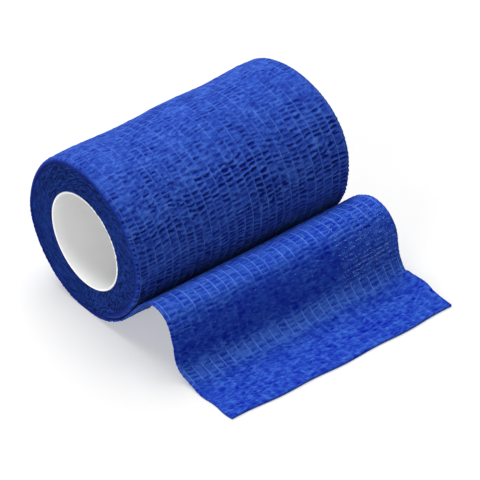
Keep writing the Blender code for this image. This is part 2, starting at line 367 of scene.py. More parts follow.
@dataclass(frozen=True)
class Crepe:
    """The cloth's relief: sunk windows in rows, between elastic threads that run along the cloth, and the shade and
    light painted on it.
    """

    thread_gap: float = 2.80 * MM
    thread_count: int = 27
    pucker_pitch: float = 1.42 * MM
    steep_side: float = 0.15
    gentle_side: float = 0.27
    row_lag: float = 1.6
    cell_lag: float = 0.9
    wander: float = 0.5 * MM
    skew: float = 0.6
    crinkle: float = 0.34
    lip: float = 0.34
    lip_width: float = 0.14
    thread_ridge: float = 0.24
    thread_width: float = 0.20 * MM
    lip_place: float = 0.36
    window_edge: float = 0.12
    least_gain: float = 0.30
    crumple: float = 1.3
    grain: float = 0.34
    rough_grain: float = 0.7
    mean_lift: float = 0.35
    full_depth: float = 0.34 * MM
    body_shade: float = 0.60
    lip_shade: float = 0.26
    thread_shade: float = 0.14
    fold_shade: float = 0.74
    grain_shade: float = 0.38

    def thread_places(self) -> Array:
        """Gives how far each elastic thread lies from the cloth's middle line."""
        return (np.arange(self.thread_count) - (self.thread_count - 1) / 2) * self.thread_gap

    def places_across(self, half_width: float) -> Array:
        """Gives places across the cloth that resolve the threads and the windows between them.

        Args:
            half_width: Distance from the middle line to the last place on either side.

        Returns:
            Distances from the middle line.
        """
        inside = np.array([0.0, 0.11, 0.27, 0.50, 0.73, 0.89]) * self.thread_gap
        inner = (self.thread_places()[:-1, None] + inside[None, :]).ravel()
        last = self.thread_places()[-1]
        beyond = np.linspace(last, half_width, 5)[1:]
        return np.concatenate([-beyond[::-1], inner, [last], beyond])

    def relief(self, along: Array, across: Array, depth: Array,
               disorder: Array) -> tuple[Array, Array]:
        """Works out the windows, their lips, the ridges over the threads and the grain.

        Args:
            along: Distance along the cloth, across the rows of windows.
            across: Distance from the cloth's middle line.
            depth: Depth of a full window at each place.
            disorder: 0 where the windows stand in clear rows, 1 where they are crumpled.

        Returns:
            Height over the cloth's mean surface, and the painted shade and light with the grain's random tone: 0 for
            painted shade in a fold, 1 for painted light on a ridge.
        """
        moved = across + self.wander * (noise(Layer.FIBRE, across, along, (6 * MM, 5 * MM)) - 0.5)
        cell = np.floor(moved / self.thread_gap)
        inside = moved / self.thread_gap - cell
        from_thread = np.minimum(inside, 1 - inside)
        row_lag = self.row_lag * noise(Layer.WANDER, across, along, (11 * MM, 9 * MM))
        cell_lag = self.cell_lag * noise(Layer.LAG, cell * 0.73, along, (1.0, 4.5 * MM))
        lean = self.skew * (noise(Layer.LUMP, cell * 0.9, along, (1.0, 2.6 * MM)) - 0.5) * (inside - 0.5)
        crinkle = noise(Layer.TONE, across, along, (0.95 * MM, 0.9 * MM)) - 0.5
        crinkle = crinkle * (self.crinkle + self.crumple * disorder)
        phase = along / self.pucker_pitch + row_lag + cell_lag + lean + crinkle
        fold = np.round(phase)
        off = phase - fold
        side = np.where(off > 0, self.steep_side, self.gentle_side)
        window = 1 - np.exp(-((from_thread / self.window_edge) ** 2))
        gain = self.least_gain + scatter(Layer.GAIN, cell, fold)
        folded = np.exp(-((off / side) ** 2)) * window * gain
        lip = np.exp(-(((off - self.lip_place) / self.lip_width) ** 2)) * (0.4 + 0.6 * window) * np.minimum(gain, 1.0)
        on_thread = np.exp(-((from_thread * self.thread_gap / self.thread_width) ** 2))
        fine = noise(Layer.FINE, along, across, (0.40 * MM, 0.62 * MM)) - 0.5
        coarse = noise(Layer.COARSE_FINE, along, across, (0.9 * MM, 1.2 * MM)) - 0.5
        grain = (fine + coarse) * (1 + self.rough_grain * disorder)
        height = self.lip * lip + self.thread_ridge * on_thread + self.grain * grain - folded + self.mean_lift
        marked = np.clip(depth / self.full_depth, 0.0, 1.2)
        # Painted shade darkens the folds and painted light brightens the lips; the places over the threads are
        # lighter, and the grain adds random tone.
        shaded = self.lip_shade * lip + self.thread_shade * on_thread - self.fold_shade * folded
        painted_shade_and_grain = self.body_shade + marked * shaded + self.grain_shade * grain
        return height * depth, np.clip(painted_shade_and_grain, 0.0, 1.0)


@dataclass(frozen=True)
class WoundForm:
    """The roll's outer form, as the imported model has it."""

    length: float
    axis_height: float
    ledge_angle: float = 25.0
    near_rim: float = 1.2 * MM
    far_rim: float = 1.3 * MM
    face_band: float = 3.5 * MM
    shift_reach: float = 14.0 * MM

    @property
    def end_angle(self) -> float:
        """The turn angle at which the outermost turn ends, one turn past the ledge."""
        return TURN_RADII[-1].angle

    def turn_radius(self, angle: Array) -> Array:
        """Gives the wound cloth's radius at turn angles between the ledge and one turn further."""
        return smooth_curve([row.angle for row in TURN_RADII], [row.radius for row in TURN_RADII], angle)[:, 0]

    def swell(self, from_near_face: Array) -> Array:
        """Gives how far the wound cloth swells.

        Args:
            from_near_face: Distances from the near face.

        Returns:
            Swells, in the same shape.
        """
        flat = np.ravel(from_near_face)
        rows = smooth_curve([row.from_near_face for row in SWELLS], [row.swell for row in SWELLS], flat)
        return rows[:, 0].reshape(np.shape(from_near_face))

    def edge_outs(self, angle: Array) -> tuple[Array, Array]:
        """Gives how far the two edges stand out.

        Args:
            angle: Turn angles.

        Returns:
            A column for the near edge and one for the far edge.
        """
        outs = [(row.near_out, row.far_out) for row in EDGE_SHIFTS]
        rows = smooth_curve([row.angle for row in EDGE_SHIFTS], outs, np.ravel(angle))
        return rows[:, :1], rows[:, 1:]

    def edge_shift(self, angle: Array, from_near_face: Array) -> Array:
        """Gives how far the cloth is shifted along X.

        Args:
            angle: A row of turn angles.
            from_near_face: A row of distances from the near face.

        Returns:
            A grid, one row for each angle.
        """
        near_out, far_out = self.edge_outs(angle)
        near_share = np.maximum(0.0, 1 - from_near_face / self.shift_reach)[None, :]
        far_share = np.maximum(0.0, 1 - (self.length - from_near_face) / self.shift_reach)[None, :]
        return far_out * far_share - near_out * near_share

    def on_turn(self, angle: Array, radius: Array) -> tuple[Array, Array]:
        """Gives Y and Z of places at turn angles and distances from the roll's axis."""
        turn = np.radians(angle)
        return -radius * np.sin(turn), self.axis_height - radius * np.cos(turn)


@dataclass(frozen=True)
class ClothFinish:
    """Blue non-woven crepe with painted shade and light: dark and saturated in its folds as painted shade, lighter on
    its ridges as painted light, with a faintly fibrous random tone.
    """

    name: str
    fold_shade_colour: Triple
    body_colour: Triple
    ridge_lit_colour: Triple
    roughness: float = 0.85
    sheen: float = 0.08
    sheen_tint: Triple = (0.35, 0.50, 1.0)
    fibre_scale: float = 2300.0
    fibre_gain: float = 1.1
    patch_scale: float = 130.0
    patch_gain: float = 0.35
    bump: float = 0.45

    def build(self) -> Material:
        """Makes the material."""
        made = bpy.data.materials.new(self.name)
        made.use_nodes = True
        tree = made.node_tree
        shader = tree.nodes["Principled BSDF"]
        shader.inputs["Roughness"].default_value = self.roughness
        shader.inputs["Specular IOR Level"].default_value = 0.15
        shader.inputs["Sheen Weight"].default_value = self.sheen
        shader.inputs["Sheen Roughness"].default_value = 0.45
        shader.inputs["Sheen Tint"].default_value = (*self.sheen_tint, 1.0)

        place = tree.nodes.new("ShaderNodeTexCoord")
        painted_shade_and_grain = tree.nodes.new("ShaderNodeAttribute")
        painted_shade_and_grain.attribute_name = "painted_shade_and_grain"
        fibres = self._noise(tree, place, self.fibre_scale, 3.0, 0.6, (1.0, 2.2, 2.2))
        patches = self._noise(tree, place, self.patch_scale, 2.0, 0.5, (1.0, 1.0, 1.0))

        toned = tree.nodes.new("ShaderNodeMath")
        toned.operation = "SUBTRACT"
        toned.inputs[1].default_value = (self.fibre_gain + self.patch_gain) / 2
        tree.links.new(painted_shade_and_grain.outputs["Fac"], toned.inputs[0])
        for texture, gain in ((fibres, self.fibre_gain), (patches, self.patch_gain)):
            before, toned = toned, tree.nodes.new("ShaderNodeMath")
            toned.operation = "MULTIPLY_ADD"
            toned.inputs[1].default_value = gain
            tree.links.new(texture.outputs["Fac"], toned.inputs[0])
            tree.links.new(before.outputs[0], toned.inputs[2])
        # The ramp paints shade and light: the fold shade colour in the folds, the ridge lit colour on the ridges;
        # fibre and patch noise add random tone.
        ramp = tree.nodes.new("ShaderNodeValToRGB")
        ramp.color_ramp.elements[0].color = (*self.fold_shade_colour, 1.0)
        ramp.color_ramp.elements[1].color = (*self.ridge_lit_colour, 1.0)
        middle = ramp.color_ramp.elements.new(0.55)
        middle.color = (*self.body_colour, 1.0)
        tree.links.new(toned.outputs[0], ramp.inputs["Fac"])
        tree.links.new(ramp.outputs["Color"], shader.inputs["Base Color"])

        bump = tree.nodes.new("ShaderNodeBump")
        bump.inputs["Strength"].default_value = self.bump
        bump.inputs["Distance"].default_value = 0.12 * MM
        tree.links.new(fibres.outputs["Fac"], bump.inputs["Height"])
        tree.links.new(bump.outputs["Normal"], shader.inputs["Normal"])
        return made

    @staticmethod
    def _noise(tree: NodeTree, place: Node, scale: float, detail: float, rough: float,
               stretch: Triple) -> Node:
        """Adds a noise texture in the piece's own space.

        Args:
            tree: The material's nodes.
            place: The texture coordinate node.
            scale: Lumps a metre.
            detail: Finer octaves.
            rough: Weight of the finer octaves.
            stretch: Scale along each axis.

        Returns:
            The noise node.
        """
        mapping = tree.nodes.new("ShaderNodeMapping")
        mapping.inputs["Scale"].default_value = stretch
        texture = tree.nodes.new("ShaderNodeTexNoise")
        texture.inputs["Scale"].default_value = scale
        texture.inputs["Detail"].default_value = detail
        texture.inputs["Roughness"].default_value = rough
        tree.links.new(place.outputs["Object"], mapping.inputs["Vector"])
        tree.links.new(mapping.outputs["Vector"], texture.inputs["Vector"])
        return texture


@dataclass(frozen=True)
class TwoToneFinish:
    """Two close tones, mixed by soft noise."""

    name: str
    dark: Triple
    light: Triple
    roughness: float = 0.5
    specular: float = 0.5
    cloud_scale: float = 900.0
    cloud_detail: float = 2.0

    def build(self) -> Material:
        """Makes the material."""
        made = bpy.data.materials.new(self.name)
        made.use_nodes = True
        tree = made.node_tree
        shader = tree.nodes["Principled BSDF"]
        shader.inputs["Roughness"].default_value = self.roughness
        shader.inputs["Specular IOR Level"].default_value = self.specular
        place = tree.nodes.new("ShaderNodeTexCoord")
        clouds = tree.nodes.new("ShaderNodeTexNoise")
        clouds.inputs["Scale"].default_value = self.cloud_scale
        clouds.inputs["Detail"].default_value = self.cloud_detail
        tree.links.new(place.outputs["Object"], clouds.inputs["Vector"])
        mix = tree.nodes.new("ShaderNodeMix")
        mix.data_type = "RGBA"
        mix.inputs["A"].default_value = (*self.dark, 1.0)
        mix.inputs["B"].default_value = (*self.light, 1.0)
        tree.links.new(clouds.outputs["Fac"], mix.inputs["Factor"])
        tree.links.new(mix.outputs["Result"], shader.inputs["Base Color"])
        return made


@dataclass(frozen=True)
class PlasticFinish(TwoToneFinish):
    """Smooth white plastic of the core, faintly cloudy."""

    name: str = "core_white_plastic"
    dark: Triple = (0.86, 0.86, 0.86)
    light: Triple = (0.91, 0.91, 0.91)
    roughness: float = 0.42
    specular: float = 0.4
    cloud_scale: float = 90.0
    cloud_detail: float = 4.0


@dataclass(frozen=True)
class ThreadFinish(TwoToneFinish):
    """Pale blue elastic thread with a dull shine."""

    name: str = "elastic_thread"
    dark: Triple = (0.10, 0.23, 0.66)
    light: Triple = (0.20, 0.38, 0.85)


@dataclass
class WoundCloth:
    """The wound part: its outermost turn with the crepe's relief, and the edges of the turns at both faces."""

    form: WoundForm
    crepe: Crepe
    finish: ClothFinish
    edge_finish: ClothFinish
    core_radius: float
    front_starts: float = 58.0
    front_ends: float = 222.0
    low_rows: int = 33
    front_rows: int = 345
    back_rows: int = 160
    rim_samples: int = 6
    face_overlap: float = 0.2 * MM
    skin_depth: float = 0.9 * MM
    front_depth: float = 0.36 * MM
    top_depth: float = 0.20 * MM
    turn_pitch: float = 0.46 * MM
    face_rows: int = 72
    face_columns: int = 900
    face_depth: float = 0.20 * MM
    face_sunk: float = 0.15 * MM

    def angles(self) -> Array:
        """Gives the skin's turn angles, closer together where the puckers are finest to see."""
        low = np.linspace(self.form.ledge_angle, self.front_starts, self.low_rows)[:-1]
        front = np.linspace(self.front_starts, self.front_ends, self.front_rows)
        back = np.linspace(self.front_ends, self.form.end_angle, self.back_rows)[1:]
        return np.concatenate([low, front, back])

    def _profile(self) -> tuple[Array, Array, Array]:
        """Gives the skin's outline from face to face.

        Returns:
            Distance from the near face, drop below the turn radius, and distance along the cloth from its middle.
        """
        rims = []
        for rounding in (self.form.near_rim, self.form.far_rim):
            turn = np.radians(np.linspace(0.0, 90.0, self.rim_samples))[:-1]
            place = np.concatenate([[0.0], rounding * (1 - np.cos(turn))])
            drop = np.concatenate([[rounding + self.face_overlap], rounding * (1 - np.sin(turn))])
            rims.append((place, drop))
        across = self.crepe.places_across(self.form.length / 2 - self.form.far_rim)
        across = across[across > self.form.near_rim - self.form.length / 2]
        place = np.concatenate([rims[0][0], across + self.form.length / 2, self.form.length - rims[1][0][::-1]])
        drop = np.concatenate([rims[0][1], np.zeros(len(across)), rims[1][1][::-1]])
        travelled = np.concatenate([[0.0], np.cumsum(np.hypot(np.diff(place), np.diff(drop)))])
        return place, drop, travelled - np.interp(self.form.length / 2, place[2:-2], travelled[2:-2])

    def build_skin(self) -> Object:
        """Makes the outermost turn, with its relief, as one closed mesh."""
        place, drop, across = self._profile()
        angle = self.angles()
        base = self.form.turn_radius(angle)[:, None] + self.form.swell(place)[None, :]
        run = np.radians(angle - self.form.end_angle)[:, None] * np.mean(base)
        run, wide = np.broadcast_arrays(run, across[None, :])
        on_rim = ease(drop, 0.0, 0.75 * self.form.near_rim)[None, :]
        depth = self.depth(angle[:, None], run, wide) * (1 - 0.80 * on_rim)
        disorder = 0.3 * ease(noise(Layer.TONE, run, wide, (7 * MM, 6 * MM)), 0.50, 0.85)
        height, painted_shade_and_grain = self.crepe.relief(run, wide, depth, disorder)
        # Painted shade on the rounded rims: darker towards the end faces, in place of most of the crepe's painted
        # shade and light.
        rim_shade = 0.30 - 0.22 * ease(drop, 0.5 * self.form.near_rim, self.form.near_rim)[None, :]
        painted_shade_and_grain = painted_shade_and_grain * (1 - on_rim) + (rim_shade + 0.15 * (painted_shade_and_grain - 0.5)) * on_rim
        normal_place = -np.gradient(drop)
        normal_drop = np.gradient(place)
        size = np.hypot(normal_place, normal_drop)
        radius = base - drop[None, :] + height * (normal_drop / size)[None, :]
        x = place[None, :] - self.form.length / 2 - height * (normal_place / size)[None, :]
        x = x + self.form.edge_shift(angle, place)
        y, z = self.form.on_turn(angle[:, None], radius)
        outer = np.stack([x, y, np.maximum(z, 0.02 * MM)], axis=-1)
        inner_radius = base[:, [0, -1]] - drop[[0, -1]][None, :] - 0.4 * MM
        inner_x = np.array([place[0] + self.skin_depth, place[-1] - self.skin_depth]) - self.form.length / 2
        inner_x = inner_x[None, :] + self.form.edge_shift(angle, place[[0, -1]])
        inner_y, inner_z = self.form.on_turn(angle[:, None], inner_radius)
        inner = np.stack([inner_x, inner_y, inner_z], axis=-1)[:, ::-1]
        loop = np.concatenate([outer, inner], axis=1)
        shades = np.concatenate([painted_shade_and_grain, np.full(inner.shape[:2], 0.4)], axis=1)
        rows, columns = loop.shape[:2]
        faces = [grid_quads(rows, columns, wrap_columns=True), [list(range(columns))],
                 [list(range(rows * columns - 1, (rows - 1) * columns - 1, -1))]]
        return make_piece("outer_turn", loop, faces, {"painted_shade_and_grain": shades}, self.finish.build())

    def depth(self, angle: Array, run: Array, wide: Array) -> Array:
        """Gives the depth of a full window: deep in front, shallow where the top is pulled smooth.

        Args:
            angle: Turn angles.
            run: Distances along the cloth.
            wide: Distances from the cloth's middle line.

        Returns:
            Depths in metres.
        """
        left = ease(wide, 22 * MM, -22 * MM)
        top = ease(angle, 128.0 - 12.0 * left, 176.0 - 12.0 * left) * (1 - ease(angle, 250.0, 300.0))
        depth = self.front_depth + (self.top_depth - self.front_depth) * top
        slack = noise(Layer.SLACK, run, wide, (9 * MM, 8 * MM))
        patch = noise(Layer.CRUMB, run, wide, (3.5 * MM, 4.5 * MM))
        depth = depth * (0.62 + 0.55 * slack) * (1 - 0.75 * top * ease(patch, 0.35, 0.75))
        return depth * (0.25 + 0.75 * ease(np.abs(angle - 360.0), 4.0, 16.0))

    def build_turn_edges(self, face: Face) -> Object:
        """Makes the edges of the turns at one face, a closed ring.

        Args:
            face: The near or the far face.

        Returns:
            The ring.
        """
        angle = np.linspace(0.0, 360.0, self.face_columns, endpoint=False)
        share = np.linspace(0.0, 1.0, self.face_rows)[:, None]
        inner = self.core_radius + 0.03 * MM
        turned = np.where(angle < self.form.ledge_angle, angle + 360.0, angle)
        rim = self.form.near_rim if face is Face.NEAR else self.form.far_rim
        full = self._soften(self.form.turn_radius(turned)[None, :])
        outer = full - rim - 0.6 * self.face_overlap
        radius = inner + (outer - inner) * share
        wound = radius / self.turn_pitch + face.value * angle[None, :] / 360.0
        turn_y, turn_z = np.cos(np.radians(angle))[None, :], np.sin(np.radians(angle))[None, :]
        wound = wound + 1.6 * noise(Layer.TURN_WOBBLE, turn_y * 6 + 20, turn_z * 6 + radius / (3 * MM))
        turn = np.floor(wound)
        inside = wound - turn
        around = np.radians(angle)[None, :] * radius
        own = noise(Layer.TURN_EDGE, around, turn * 5.3, (0.7 * MM, 1.0)) - 0.5
        crumb = noise(Layer.CRUMB, around, radius, (0.34 * MM, 0.30 * MM)) - 0.5
        ridge = np.exp(-(((inside - 0.5) / 0.24) ** 2))
        height = self.face_depth * (0.4 * ridge - 0.6 + 0.7 * own + 2.0 * crumb)
        closing = ease(share, 0.0, 0.03) * (1 - ease(share, 0.94, 1.0))
        outs = self._soften(self.form.edge_outs(turned)[0 if face is Face.NEAR else 1].T)
        lean = outs * np.clip((radius - full + self.form.face_band) / (self.form.face_band - rim), 0.0, 1.0)
        x = self.form.length / 2 + lean - self.face_sunk + height * closing - 0.3 * MM * (1 - closing)
        y, z = self.form.on_turn(angle[None, :], radius)
        front = np.stack([face.value * x, y, z], axis=-1)
        back = front[[-1, 0]].copy()
        back[..., 0] = face.value * (self.form.length / 2 - 3 * MM)
        ring = np.concatenate([front, back], axis=0)
        # Painted light on the crest of each turn's edge; the other noises add random tone.
        painted_ridge_light_and_grain = np.clip(0.46 + 0.16 * ridge + 0.35 * own + 1.5 * crumb, 0.0, 1.0)
        shades = np.concatenate([painted_ridge_light_and_grain, np.full(back.shape[:2], 0.3)], axis=0)
        rows, columns = ring.shape[:2]
        faces = [grid_quads(rows, columns, wrap_rows=True, wrap_columns=True, turned=face is Face.FAR)]
        material = self.edge_finish.build()
        return make_piece(f"{face.name.lower()}_turn_edges", ring, faces, {"painted_shade_and_grain": shades}, material)

    @staticmethod
    def _soften(values: Array, reach: int = 20) -> Array:
        """Averages a closed row of numbers over its neighbours."""
        return sum(np.roll(values, step, axis=1) for step in range(-reach, reach + 1)) / (2 * reach + 1)


@dataclass
class LooseEnd:
    """The loose end: one sheet of crepe with a hump, lying out flat to its cut edge."""

    form: WoundForm
    crepe: Crepe
    finish: ClothFinish
    piece_gap: float = 0.3 * MM
    model_thickness: float = 1.0 * MM
    cloth_thickness: float = 0.42 * MM
    leave_angle: float = 54.0
    hug_ends: float = 0.17
    hug_fades: float = 0.15
    end_drift: float = 2.2 * MM
    end_widening: float = 1.8 * MM
    root_narrowing: float = 0.4 * MM
    lying_starts: float = 0.72
    far_edge_curl: float = 1.8 * MM
    far_edge_curl_width: float = 0.18
    cut_edge_wave: float = 0.2 * MM
    cut_edge_waves: float = 3.5
    far_step: float = 0.7 * MM
    pucker_depth: float = 0.26 * MM
    edge_wave: float = 0.22 * MM
    edge_waves_along: float = 7.0
    edge_wave_lag: float = 2.0
    rows: int = 286

    def sections(self, steps: int) -> list[Array]:
        """Gives the mid-surface's Y and Z at the near edge, the middle and the far edge.

        Args:
            steps: The number of equal stretches along the cloth.

        Returns:
            Three arrays of steps + 1 places.
        """
        radius = float(self.form.turn_radius(self.form.ledge_angle)[0]) + self.piece_gap + self.model_thickness / 2
        first = self.form.ledge_angle + math.degrees(self.piece_gap / radius)
        root = [tuple(float(part) for part in self.form.on_turn(angle, radius))
                for angle in np.linspace(first, self.leave_angle, 9)]
        courses = ([(getattr(row, side + "_y"), getattr(row, side + "_z")) for row in STATIONS]
                   for side in ("near", "middle", "far"))
        return [even_points(root + course, steps) for course in courses]

    def flat_length(self) -> float:
        """Gives the loose end's length along its middle line."""
        middle = self.sections(400)[1]
        return float(np.linalg.norm(np.diff(middle, axis=0), axis=1).sum())

    def surface(self, along: Array, across: Array) -> Array:
        """Places the mid-surface.

        Args:
            along: Shares of the length, evenly spaced from 0 at the ledge to 1 at the cut edge.
            across: Shares of the width, from 0 at the near edge to 1 at the far edge.

        Returns:
            A grid of points, one row for each place along.
        """
        near, middle, far = self.sections(len(along) - 1)
        s, w = along[:, None], across[None, :]
        blend = ((1 - w) * (1 - 2 * w), 4 * w * (1 - w), w * (2 * w - 1))
        y = sum(part * section[:, 0][:, None] for part, section in zip(blend, (near, middle, far)))
        z = sum(part * section[:, 1][:, None] for part, section in zip(blend, (near, middle, far)))
        hug = np.clip(1 - (s - self.hug_ends) / self.hug_fades, 0.0, 1.0)
        lifted = hug * self.form.swell(w * self.form.length) / np.hypot(y, z - self.form.axis_height)
        y, z = y + lifted * y, z + lifted * (z - self.form.axis_height)
        free = np.maximum(0.0, s - self.hug_ends) / (1 - self.hug_ends)
        drift = self.end_drift * free + self.end_widening * free * w + self.root_narrowing * hug * (1 - 2 * w)
        wave = np.sin(2 * np.pi * self.edge_waves_along * s + self.edge_wave_lag * w)
        x = self.form.length * (w - 0.5) + drift + self.edge_wave * free * np.abs(2 * w - 1) * wave
        x = x - self.far_step * EDGE_STEP.share(s) * ease(w, 0.90, 1.0)
        lying = np.maximum(0.0, s - self.lying_starts) / (1 - self.lying_starts)
        curl = np.maximum(0.0, 1 - (1 - w) / self.far_edge_curl_width) ** 2
        z = z + self.far_edge_curl * curl * np.sin(np.pi * lying) ** 2
        y = y + self.cut_edge_wave * lying ** 3 * np.sin(2 * np.pi * self.cut_edge_waves * w)
        return np.stack([x, y, np.maximum(z, self.model_thickness / 2)], axis=-1)

    def upward(self, along: Array, across: Array) -> Array:
        """Gives the mid-surface's upward normals.

        Args:
            along: Shares of the length, evenly spaced.
            across: Shares of the width.

        Returns:
            A grid of unit vectors.
        """
        step = 1e-3
        sideways = self.surface(along, across + step) - self.surface(along, across - step)
        return unit(np.cross(np.gradient(self.surface(along, across), axis=0), sideways))

    def depth(self, s: Array, w: Array) -> Array:
        """Gives the depth of a full pucker: shallow where the cloth is pulled over the crest and at the toe.

        Args:
            s: Shares of the length.
            w: Shares of the width.

        Returns:
            Depths in metres.
        """
        crest_and_toe = CREST.share(s) + TOE.share(s)
        slack = noise(Layer.SLACK, 40 + s * 8, w * 9)
        depth = self.pucker_depth * (0.65 + 0.6 * slack) * (1 - 0.25 * crest_and_toe) * (1 - 0.65 * FACE_RELIEF.share(s))
        return depth * (1 - 0.25 * ease(s, 0.76, 0.80))

    def disorder(self, s: Array, w: Array) -> Array:
        """Gives how crumpled the windows are: in rows on the crest and at the far corner, crumpled where it lies.

        Args:
            s: Shares of the length.
            w: Shares of the width.

        Returns:
            Numbers from 0 to 1.
        """
        lies = 0.22 * ease(s, 0.74, 0.80) * (1 - 0.6 * ease(w, 0.72, 0.95))
        return np.maximum(lies, 0.5 * ease(s, 0.48, 0.58)) * (1 - TOE.share(s))

    def painted_light_and_shade(self, s: Array, w: Array) -> Array:
        """Gives the light and shade painted on the loose end: painted light on the crest and the toe, painted shadow
        on the hump's face, a little darker where it lies flat.

        Args:
            s: Shares of the length.
            w: Shares of the width.

        Returns:
            What is added to the painted shade and grain.
        """
        # Painted light on the crest and the toe, painted shadow on the hump's face.
        crest_and_toe = 0.13 * CREST.share(s) * (1 - 0.5 * w) + 0.24 * TOE.share(s)
        hump_face = FACE_SHADE.share(s) * (1 - ease(w, 0.70, 0.90))
        return crest_and_toe - 0.15 * hump_face - 0.04 * ease(s, 0.78, 0.84)

    def build_cloth(self) -> Object:
        """Makes the sheet with its relief on both sides."""
        along = np.linspace(0.0, 1.0, self.rows)
        across = self.crepe.places_across(self.form.length / 2) / self.form.length + 0.5
        middle = self.surface(along, across)
        normal = surface_normals(middle)
        s, w = np.broadcast_arrays(along[:, None], across[None, :])
        run = s * self.flat_length()
        wide = (w - 0.5) * self.form.length
        height, painted_shade_and_grain = self.crepe.relief(run, wide, self.depth(s, w), self.disorder(s, w))
        painted_shade_and_grain = np.clip(painted_shade_and_grain + self.painted_light_and_shade(s, w), 0.0, 1.0)
        spare = (self.model_thickness - self.cloth_thickness) / 2
        height = np.clip(height, -spare, 1.4 * spare)
        upper = middle + normal * (height + self.cloth_thickness / 2)[..., None]
        lower = middle + normal * (0.9 * height - self.cloth_thickness / 2)[..., None]
        lies = ease(s, 0.80, 0.86) * (1 - ease(middle[..., 2], 0.6 * MM, 1.2 * MM))
        lower[..., 2] = np.maximum(lower[..., 2] * (1 - lies), 0.03 * MM)
        rows, columns = upper.shape[:2]
        points = np.concatenate([upper.reshape(-1, 3), lower.reshape(-1, 3)])
        # The lower side gets the upper side's painted shade and light, turned over and softer.
        shades = np.concatenate([painted_shade_and_grain.ravel(), 1 - 0.6 * painted_shade_and_grain.ravel()])
        count = rows * columns
        faces = [grid_quads(rows, columns), grid_quads(rows, columns, first=count, turned=True),
                 self._rim(rows, columns, count)]
        return make_piece("loose_cloth", points, faces, {"painted_shade_and_grain": shades}, self.finish.build())

    @staticmethod
    def _rim(rows: int, columns: int, count: int) -> Array:
        """Lists the faces that join the upper and the lower side along all four edges.

        Args:
            rows: Number of rows of points on either side.
            columns: Number of points in a row.
            count: Number of points on either side.

        Returns:
            One row of four point numbers for each face.
        """
        start = np.arange(columns)
        end = (rows - 1) * columns + np.arange(columns)
        left = np.arange(rows) * columns
        right = left + columns - 1
        edge = np.concatenate([start, right[1:], end[::-1][1:], left[::-1][1:]])
        this, following = edge[:-1], edge[1:]
        return np.stack([this, following, following + count, this + count], axis=1)


@dataclass(frozen=True)
class CoreSleeve:
    """The white tube with softly rounded lips."""

    outer_radius: float
    wall: float
    length: float
    axis_height: float
    steps: int = 160
    lip_samples: int = 6
    stretches: int = 24

    def build(self) -> Object:
        """Turns the wall's outline about the roll's axis."""
        half, lip = self.length / 2, self.wall / 2
        turn = np.linspace(0.0, np.pi, self.lip_samples)
        middle = self.outer_radius - lip
        near = [(-half + lip - lip * math.sin(t), middle + lip * math.cos(t)) for t in turn]
        far = [(half - lip + lip * math.sin(t), middle - lip * math.cos(t)) for t in turn]
        inside = [(x, middle - lip) for x in np.linspace(-half + lip, half - lip, self.stretches)[1:-1]]
        outline = np.array(near + inside + far)
        angle = np.linspace(0.0, 2 * np.pi, self.steps, endpoint=False)[:, None]
        x, radius = outline[None, :, 0], outline[None, :, 1]
        y, z = -radius * np.sin(angle), self.axis_height - radius * np.cos(angle)
        points = np.stack([np.broadcast_to(x, y.shape), y, z], axis=-1)
        faces = [grid_quads(self.steps, len(outline), wrap_rows=True, wrap_columns=True, turned=True)]
        return make_piece("core_sleeve", points, faces, None, PlasticFinish().build())


